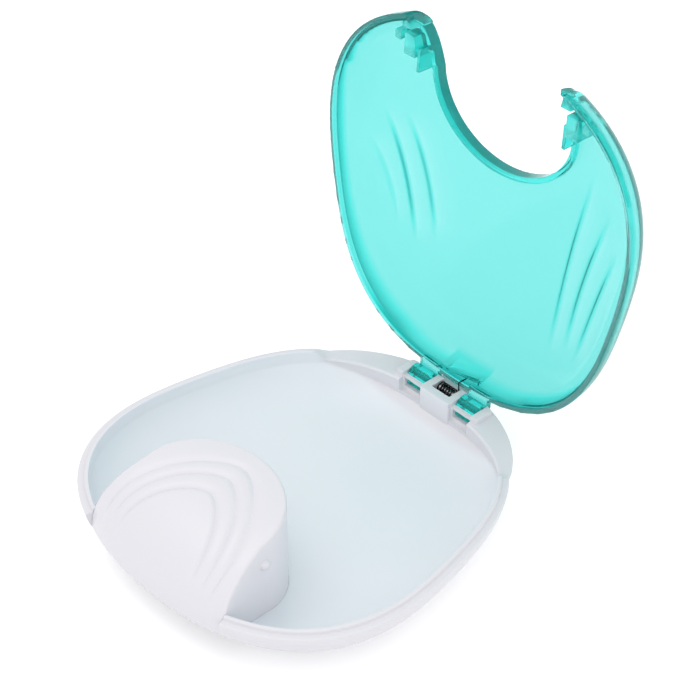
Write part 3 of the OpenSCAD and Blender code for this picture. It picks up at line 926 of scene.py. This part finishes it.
# Plan lines of the button, in millimetres: how far in from the edge each lies at the rear, its half
# width, its rear end, where its sides begin, its roundness and the flare of its sides
BUTTON_LINES = np.array([
    (0, 18.1, -8.9, -24, 2.0, 0.2),
    (4.0, 16.4, -13.4, -34, 1.6, 0),
    (7.5, 13.8, -17.4, -35.5, 1.6, 0),
    (11.5, 11.2, -22.4, -37, 1.6, 0),
    (26, 0, -33, -33, 1.6, 0),
])
GROOVES = BUTTON_LINES[1:4, 0]
GROOVE_HALF = 0.75
GROOVE_END = (-38.5 * MM, 3.5 * MM)

# Outline scales at which the button's front edge and the face below it are drawn
FRONT_LOW = 0.8754
FRONT_STEPS = 26
FRONT_SCALES = BUTTON_SCALE - (BUTTON_SCALE - FRONT_LOW) * np.linspace(0, 1, FRONT_STEPS) ** 2.3
LINE_STEPS = 90


def button_line(case, inward, inset):
    """Plan points of one line of the button, from its front edge back to its middle.

    inward runs from 0 on the button's edge to its last plan line. inset draws the line in, for
    the inner face. The first FRONT_STEPS points lie at the outline scales of FRONT_SCALES."""
    at_rear, shapes = BUTTON_LINES[:, 0], BUTTON_LINES[:, 1:].T
    half, apex, mid, power, flare = (np.interp(inward, at_rear, shape) for shape in shapes)
    draw_in = inset * (1 - inward / BUTTON_LINES[-1, 0])
    half, apex, mid = half * MM - draw_in, apex * MM - draw_in, mid * MM
    low, high = FRONT_Y, mid
    for _ in range(40):
        y = (low + high) / 2
        outside = scale_at(case, half + flare * (mid - y), y, inset) > BUTTON_SCALE
        low, high = (y, high) if outside else (low, y)
    y_side = np.linspace((low + high) / 2, mid, 60, endpoint=False)
    t = np.linspace(0, math.pi / 2, 160)
    cos_t, sin_t = np.maximum(np.cos(t), 0) ** (2 / power), np.sin(t) ** (2 / power)
    x = np.concatenate([half + flare * (mid - y_side), half * cos_t])
    y = np.concatenate([y_side, mid + (apex - mid) * sin_t])
    scale = scale_at(case, x, y, inset)
    start = np.argmax(scale < FRONT_LOW)
    x_front, y_front = (np.interp(-FRONT_SCALES, -scale[: start + 1], v[: start + 1]) for v in (x, y))
    rest = np.column_stack([np.append(x_front[-1], x[start:]), np.append(y_front[-1], y[start:])])
    x_rest, y_rest = along(rest, np.linspace(0, 1, LINE_STEPS + 1)[1:]).T
    return np.append(x_front, x_rest), np.append(y_front, y_rest)


def button_patches(case, button, inset):
    """Grids of the outer or inner surface: the crown, the front below it and the side wall.

    The crown's lines are close together near its edge and over the grooves."""
    inwards = np.concatenate([
        np.linspace(0, 1.3, 12), np.linspace(1.4, 13.2, 119), np.linspace(13.6, BUTTON_LINES[-1, 0], 24)
    ])
    foot_z = tray_outer_z(case, BUTTON_SCALE)
    rise = case.rim_z + button.button_h - foot_z
    above_skirt = tray_outer_z(case, FRONT_SCALES) - FRONT_SKIRT_Z
    front_z = FRONT_SKIRT_Z + above_skirt * (foot_z - inset - FRONT_SKIRT_Z) / (foot_z - FRONT_SKIRT_Z)
    lines = [np.stack(button_line(case, inward, inset), axis=-1) for inward in inwards]
    edge_line = lines[0]
    crown, front = [], []
    for inward, line in zip(inwards, lines):
        x, y = line.T
        z = foot_z + rise * bulge(scale_at(case, x, y, inset) / BUTTON_SCALE, BUTTON_CURVE) - inset
        if not inset:
            gap = line[:, None, :] - edge_line[None, :, :]
            from_edge = np.sqrt((gap ** 2).sum(axis=-1).min(axis=1))
            r = button.edge_round
            room = smooth((z - foot_z) / (3 * MM))
            z = z - room * (r - np.sqrt(r * r - np.maximum(r - from_edge, 0) ** 2))
            cut = np.exp(-(np.abs(inward - GROOVES) / GROOVE_HALF) ** 1.3).sum()
            z = z - GROOVE_DEPTH * cut * smooth((y - GROOVE_END[0]) / GROOVE_END[1])
        z[0] = front_z[0]
        crown.append(mirrored(x, y, z))
        front.append((x[:FRONT_STEPS], y[:FRONT_STEPS]))
    # The front's lines run from side to side at equal heights
    rows = []
    for k in range(FRONT_STEPS):
        line = np.array([(x[k], y[k], front_z[k]) for x, y in front])
        rows.append(np.vstack([line, line[-2::-1] * [-1, 1, 1]]))
    rim = crown[0]
    foot = rim.copy()
    under = tray_outer_z(case, scale_at(case, rim[:, 0], rim[:, 1])) + SKIRT_LIFT
    foot[:, 2] = np.minimum(under, FRONT_SKIRT_Z)
    foot[:FRONT_STEPS, 2] = front_z
    foot[-FRONT_STEPS:, 2] = front_z[::-1]
    wall = [mix(rim, foot, t) for t in np.linspace(0, 1, 8)]
    return [np.array(crown), np.array(rows), np.array(wall)]


def mirrored(x, y, z):
    """A line and its mirror image across the middle of the case."""
    half = np.stack([x, y, z], axis=-1)
    return np.vstack([half, half[-2::-1] * [-1, 1, 1]])


def button_shell(case, button):
    """Closed button: outer surface, inner surface and the strips that join their lower edges."""
    outer, inner = button_patches(case, button, 0), button_patches(case, button, BUTTON_WALL)
    own = slice(FRONT_STEPS - 1, -FRONT_STEPS + 1)
    joins = [np.array([outer[1][-1], inner[1][-1]]), np.array([outer[2][-1][own], inner[2][-1][own]])]
    points, faces = [], []
    for patch in outer + inner + joins:
        rows, cols = patch.shape[:2]
        faces += grid_faces(rows, cols, sum(len(p) for p in points))
        points.append(patch.reshape(-1, 3))
    return new_object("Press_button", np.vstack(points), faces)


# ---- Materials ----


def link(tree, source, output, target, entry):
    """Joins an output of one node to an input of another."""
    tree.links.new(source.outputs[output], target.inputs[entry])


def fill(node, values):
    """Sets inputs of a node."""
    for name, value in values.items():
        node.inputs[name].default_value = value


def moulding_group():
    """Node group for moulded plastic: faint clouding of its colour, roughness and surface."""
    group = bpy.data.node_groups.new("moulded_plastic", "ShaderNodeTree")
    face = group.interface
    for name, kind, value in (
        ("Colour", "NodeSocketColor", (0.8, 0.8, 0.8, 1)),
        ("Shade", "NodeSocketColor", (0.7, 0.7, 0.7, 1)),
        ("Cloud scale", "NodeSocketFloat", 60.0),
        ("Grain scale", "NodeSocketFloat", 2500.0),
        ("Roughness low", "NodeSocketFloat", 0.27),
        ("Roughness high", "NodeSocketFloat", 0.3),
    ):
        face.new_socket(name, in_out="INPUT", socket_type=kind).default_value = value
    for name, kind in (
        ("Colour", "NodeSocketColor"), ("Roughness", "NodeSocketFloat"), ("Height", "NodeSocketFloat")
    ):
        face.new_socket(name, in_out="OUTPUT", socket_type=kind)
    nodes = group.nodes
    inputs, outputs = nodes.new("NodeGroupInput"), nodes.new("NodeGroupOutput")
    coordinate = nodes.new("ShaderNodeTexCoord")
    cloud, grain = nodes.new("ShaderNodeTexNoise"), nodes.new("ShaderNodeTexNoise")
    for noise, scale, detail in ((cloud, "Cloud scale", 2), (grain, "Grain scale", 3)):
        noise.inputs["Detail"].default_value = detail
        link(group, coordinate, "Object", noise, "Vector")
        link(group, inputs, scale, noise, "Scale")
    tint = colour_mix(group)
    link(group, cloud, "Fac", tint, MIX_FACTOR)
    link(group, inputs, "Shade", tint, MIX_A)
    link(group, inputs, "Colour", tint, MIX_B)
    rough = nodes.new("ShaderNodeMapRange")
    fill(rough, {"From Min": 0.3, "From Max": 0.7})
    link(group, cloud, "Fac", rough, "Value")
    link(group, inputs, "Roughness low", rough, "To Min")
    link(group, inputs, "Roughness high", rough, "To Max")
    link(group, tint, MIX_RESULT, outputs, "Colour")
    link(group, rough, "Result", outputs, "Roughness")
    link(group, grain, "Fac", outputs, "Height")
    return group


def new_material(name):
    """Material, its node tree and its shader."""
    material = bpy.data.materials.new(name)
    material.use_nodes = True
    return material, material.node_tree, material.node_tree.nodes["Principled BSDF"]


def moulded(name, colour, shade, roughness):
    """Material whose colour and roughness come from the group, and its tree, shader and group."""
    material, tree, shader = new_material(name)
    group = tree.nodes.new("ShaderNodeGroup")
    group.node_tree = bpy.data.node_groups.get("moulded_plastic") or moulding_group()
    fill(group, {
        "Colour": (*colour, 1), "Shade": (*shade, 1), "Roughness low": roughness[0],
        "Roughness high": roughness[1],
    })
    link(tree, group, "Colour", shader, "Base Color")
    link(tree, group, "Roughness", shader, "Roughness")
    return material, tree, shader, group


def plastic(name, colour, shade, roughness=(0.3, 0.32), bump=0.015):
    """Moulded plastic, and its node tree, shader and group."""
    material, tree, shader, group = moulded(name, colour, shade, roughness)
    relief = tree.nodes.new("ShaderNodeBump")
    fill(relief, {"Strength": bump, "Distance": 0.1 * MM})
    link(tree, group, "Height", relief, "Height")
    link(tree, relief, "Normal", shader, "Normal")
    shader.inputs["IOR"].default_value = PLASTIC_IOR
    return material, tree, shader, group


def colour_mix(tree, blend="MIX"):
    """Node that mixes two colours."""
    node = tree.nodes.new("ShaderNodeMix")
    node.data_type = "RGBA"
    node.blend_type = blend
    return node


def marked_plastic(name, shade, mark, *look):
    """Plastic whose colour is multiplied by one that its piece's mark picks: what plastic returns
    without its group, then the node of the mark and the node that multiplies."""
    material, tree, shader, group = plastic(name, (1, 1, 1), (shade, shade, shade), *look)
    attribute = tree.nodes.new("ShaderNodeAttribute")
    attribute.attribute_name = mark
    tint = colour_mix(tree, "MULTIPLY")
    tint.inputs[MIX_FACTOR].default_value = 1
    link(tree, group, "Colour", tint, MIX_A)
    link(tree, tint, MIX_RESULT, shader, "Base Color")
    return material, tree, shader, attribute, tint


def clear_plastic(name, shades):
    """Clear tinted plastic whose colour the lid's mark picks, from pale, which is painted highlight, through
    the teal face and thick plastic, to deep, which also carries the creases' painted shade.
    """
    material, tree, shader, mark, tint = marked_plastic(name, 0.98, "deep", (0.05, 0.07), 0.005)
    depth = tree.nodes.new("ShaderNodeValToRGB")
    ramp = depth.color_ramp.elements
    ramp[0].color, ramp[1].color = (*shades[0], 1), (*shades[-1], 1)
    ramp.new(DEEP_FACE).color = (*shades[1], 1)
    ramp.new(DEEP_THICK).color = (*shades[2], 1)
    link(tree, mark, "Fac", depth, "Fac")
    link(tree, depth, "Color", tint, MIX_B)
    fill(shader, {"IOR": LID_IOR, "Transmission Weight": LID_CLEARNESS})
    return material


def tray_plastic(name, white, hollow):
    """White plastic, with painted teal light from the open lid inside the tray, which is drawn lighter and
    cooler there.
    """
    material, tree, _shader, mark, tint = marked_plastic(name, 0.985, "hollow")
    # Mixes in the painted teal light from the open lid where the hollow mark is
    where = colour_mix(tree)
    fill(where, {MIX_A: (*white, 1), MIX_B: (*hollow, 1)})
    link(tree, mark, "Fac", where, MIX_FACTOR)
    link(tree, where, MIX_RESULT, tint, MIX_B)
    return material


def wire(name, colour, roughness):
    """Drawn steel wire."""
    shade = [c * 0.7 for c in colour]
    material, _tree, shader, group = moulded(name, colour, shade, (roughness, roughness + 0.15))
    shader.inputs["Metallic"].default_value = 1.0
    group.inputs["Cloud scale"].default_value = 900
    return material


# ---- Operators ----


def paint_lid_light(case, tray):
    """Marks the inside of the tray, where light through the open lid is painted on as a lighter, teal tint.
    """
    x, y, z = coordinates(tray)
    above = z - tray_outer_z(case, scale_at(case, x, y))
    add_mark(tray, "hollow", fade(from_outline(case, x, y), 1.9, 0.6) * smooth(above / MM - 0.5))


class DENTURE_OT_tray(bpy.types.Operator):
    """Build the tray with its rim, well, posts and hinge housing"""

    bl_idname = "denture.tray"
    bl_label = "Tray"

    def execute(self, context):
        case, _lid, button, colours = sizes()
        tray = tray_shell(case)
        add_housing(case, tray)
        cut_well(case, button, tray)
        add_posts(tray)
        # Painted teal light from the open lid on the tray's inside
        paint_lid_light(case, tray)
        finish_mesh(tray, tray_plastic("tray_white", colours.tray_white, colours.tray_lid_light))
        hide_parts("base_tray")
        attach(tray, "base")
        return {"FINISHED"}


class DENTURE_OT_lid(bpy.types.Operator):
    """Build the clear lid with its cutout, creases, tips, hood and knuckles"""

    bl_idname = "denture.lid"
    bl_label = "Lid"

    def execute(self, context):
        case, lid, button, colours = sizes()
        shell = lid_shell(case, lid)
        add_tips(case, lid, button, shell)
        add_hood(case, shell)
        add_knuckles(case, lid, shell)
        deepen(case, lid, shell)
        axis = Matrix.Translation((0, case.hinge_y, hinge_z(case)))
        shell.data.transform(axis @ Matrix.Rotation(-lid.open_angle, 4, "X") @ axis.inverted())
        # The lid's shades, from painted highlight through the face and thick plastic to deep
        shades = (colours.lid_highlight, colours.lid_teal, colours.lid_thick, colours.lid_deep_and_shade)
        finish_mesh(shell, clear_plastic("lid_teal", shades))
        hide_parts("lid")
        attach(shell, "lid")
        return {"FINISHED"}


class DENTURE_OT_button(bpy.types.Operator):
    """Build the grooved press button with its two nubs"""

    bl_idname = "denture.button"
    bl_label = "Press button"

    def execute(self, context):
        case, _lid, button, colours = sizes()
        shell = button_shell(case, button)
        for side in (-1, 1):
            centre = np.array([side * (button.button_w / 2 - NUB_IN), NUB_Y, case.rim_z + NUB_RISE])
            half = np.array([side * NUB_R, 0, 0])
            nub = round_bar("nub", centre - half, centre + half, NUB_R, 32, 0.99 * NUB_R)
            combine(shell, nub, "UNION")
        white = colours.button_white
        finish_mesh(shell, plastic("button_white", white, [c * 0.99 for c in white])[0])
        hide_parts("press_button")
        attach(shell, "button")
        return {"FINISHED"}


class DENTURE_OT_springs(bpy.types.Operator):
    """Build the lid's torsion spring and the button's return spring, and finish the hinge pin"""

    bl_idname = "denture.springs"
    bl_label = "Springs and pin"

    def execute(self, context):
        case, _lid, _button, colours = sizes()
        axis_y, axis_z = case.hinge_y, hinge_z(case)
        i = np.arange(int(SPRING_TURNS * WIRE_STEPS) + 1)
        u = -math.pi / 2 + i * FULL_TURN / WIRE_STEPS
        coil = np.stack([
            -SPRING_HALF + 2 * SPRING_HALF * i / i[-1],
            axis_y + SPRING_R * np.cos(u), axis_z + SPRING_R * np.sin(u),
        ], axis=-1)
        start = [(-SPRING_HALF, SLOT_FRONT + 0.3 * MM, axis_z - SPRING_R)]
        leg = np.array([(0, 1.2, 1.2), (0, 1.1, 3.3), (0.4, 3.4, 3.6)]) * MM + [SPRING_HALF, axis_y, axis_z]
        spring = tube("Lid_spring", np.vstack([start, coil, leg]), case.wire_r, (1, 0, 0))
        finish_mesh(spring, wire("spring_black", colours.spring_black, 0.25))
        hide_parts("lid_spring")
        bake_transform(spring)

        i = np.arange(int(RETURN_TURNS * WIRE_STEPS) + 1)
        u = i * FULL_TURN / WIRE_STEPS
        rise = mix(RETURN_BOTTOM, RETURN_TOP, i / i[-1])
        coil = np.stack([RETURN_R * np.cos(u), GUIDE_Y + RETURN_R * np.sin(u), rise], axis=-1)
        spring = tube("Button_spring", coil, RETURN_WIRE, (0, 0, 1))
        bright = wire("steel_wire", colours.steel, 0.2)
        finish_mesh(spring, bright)
        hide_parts("button_spring")
        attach(spring, "base")
        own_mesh(spring)

        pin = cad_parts["hinge_pin"]
        pin.data.materials.clear()
        pin.data.materials.append(bright)
        return {"FINISHED"}


class DENTURE_OT_stage(bpy.types.Operator):
    """Set up the floor, the world, the lamps and the camera"""

    bl_idname = "denture.stage"
    bl_label = "Stage"

    def execute(self, context):
        make_floor()
        make_world()
        make_lamps()
        make_camera()
        context.scene.view_settings.view_transform = "Standard"
        return {"FINISHED"}


def make_floor():
    """Pale floor that the camera sees as white, with the object's shadow on it."""
    bm = bmesh.new()
    bmesh.ops.create_grid(bm, x_segments=8, y_segments=8, size=3)
    floor = place_mesh("Floor", bm)
    floor.location.z = -0.02 * MM
    material, tree, shader = new_material("floor_white")
    fill(shader, {"Base Color": (0.86, 0.86, 0.87, 1), "Roughness": 0.9, "Emission Color": (1, 1, 1, 1)})
    path = tree.nodes.new("ShaderNodeLightPath")
    seen, seen_through, glow = (tree.nodes.new("ShaderNodeMath") for _ in range(3))
    seen.operation = seen_through.operation = "MAXIMUM"
    glow.operation = "MULTIPLY"
    glow.inputs[1].default_value = FLOOR_GLOW
    link(tree, path, "Is Camera Ray", seen, 0)
    link(tree, path, "Is Glossy Ray", seen, 1)
    link(tree, seen, 0, seen_through, 0)
    link(tree, path, "Is Transmission Ray", seen_through, 1)
    link(tree, seen_through, 0, glow, 0)
    link(tree, glow, 0, shader, "Emission Strength")
    floor.data.materials.append(material)


def make_world():
    """White world, which is the backdrop and an even light."""
    world = bpy.data.worlds.new("studio")
    bpy.context.scene.world = world
    world.use_nodes = True
    shade = world.node_tree.nodes["Background"]
    fill(shade, {"Color": (1, 1, 1, 1), "Strength": 1.0})


def make_lamps():
    """Soft studio lamps, which point at the case."""
    for name, spot, power, size in LAMPS:
        lamp = bpy.data.lights.new(name, "AREA")
        lamp.energy, lamp.size = power, size
        holder = place(name, lamp)
        holder.location = spot
        aim = LAMP_AIM - Vector(spot)
        holder.rotation_euler = aim.to_track_quat("-Z", "Y").to_euler()


def make_camera():
    """Camera at the angle and distance that the photograph was taken from."""
    az, el = CAMERA_AZIMUTH, CAMERA_ELEVATION
    right = Vector((math.cos(az), math.sin(az), 0))
    forward = Vector((-math.sin(az) * math.cos(el), math.cos(az) * math.cos(el), -math.sin(el)))
    up = right.cross(forward)
    camera = bpy.data.cameras.new("Camera")
    camera.sensor_width = SENSOR_MM
    camera.lens = CAMERA_FOCUS_PX / PICTURE_PX * SENSOR_MM
    camera.clip_start, camera.clip_end = 0.01, 10
    holder = place("Camera", camera)
    aim = Vector((0, 0, sizes()[0].rim_z))
    holder.location = right * CAMERA_RIGHT + up * CAMERA_RISE - forward * CAMERA_BACK + aim
    holder.rotation_mode = "QUATERNION"
    holder.rotation_quaternion = Matrix((right, up, -forward)).transposed().to_quaternion()
    bpy.context.scene.camera = holder


class DENTURE_PT_panel(bpy.types.Panel):
    """Panel that lists the pieces"""

    bl_idname = "DENTURE_PT_panel"
    bl_label = "Denture case"
    bl_space_type = "VIEW_3D"
    bl_region_type = "UI"
    bl_category = "Denture case"

    def draw(self, context):
        for operator in OPERATORS:
            self.layout.operator(operator.bl_idname)
        for group in sizes():
            box = self.layout.box()
            for name in group.bl_rna.properties.keys():
                if name not in ("rna_type", "name"):
                    box.prop(group, name)


OPERATORS = (
    DENTURE_OT_stage,
    DENTURE_OT_tray,
    DENTURE_OT_lid,
    DENTURE_OT_button,
    DENTURE_OT_springs,
)
GROUPS = (
    ("denture_case", CaseSizes),
    ("denture_lid", LidSizes),
    ("denture_button", ButtonSizes),
    ("denture_finish", FinishColours),
)


def register():
    for _name, group in GROUPS:
        bpy.utils.register_class(group)
    for name, group in GROUPS:
        setattr(bpy.types.Scene, name, bpy.props.PointerProperty(type=group))
    for operator in OPERATORS:
        bpy.utils.register_class(operator)
    bpy.utils.register_class(DENTURE_PT_panel)


def unregister():
    bpy.utils.unregister_class(DENTURE_PT_panel)
    for operator in reversed(OPERATORS):
        bpy.utils.unregister_class(operator)
    for name, group in reversed(GROUPS):
        delattr(bpy.types.Scene, name)
        bpy.utils.unregister_class(group)


def main():
    register()
    bpy.ops.denture.stage()
    bpy.ops.denture.tray()
    bpy.ops.denture.lid()
    bpy.ops.denture.button()
    bpy.ops.denture.springs()


if __name__ == "__main__":
    main()
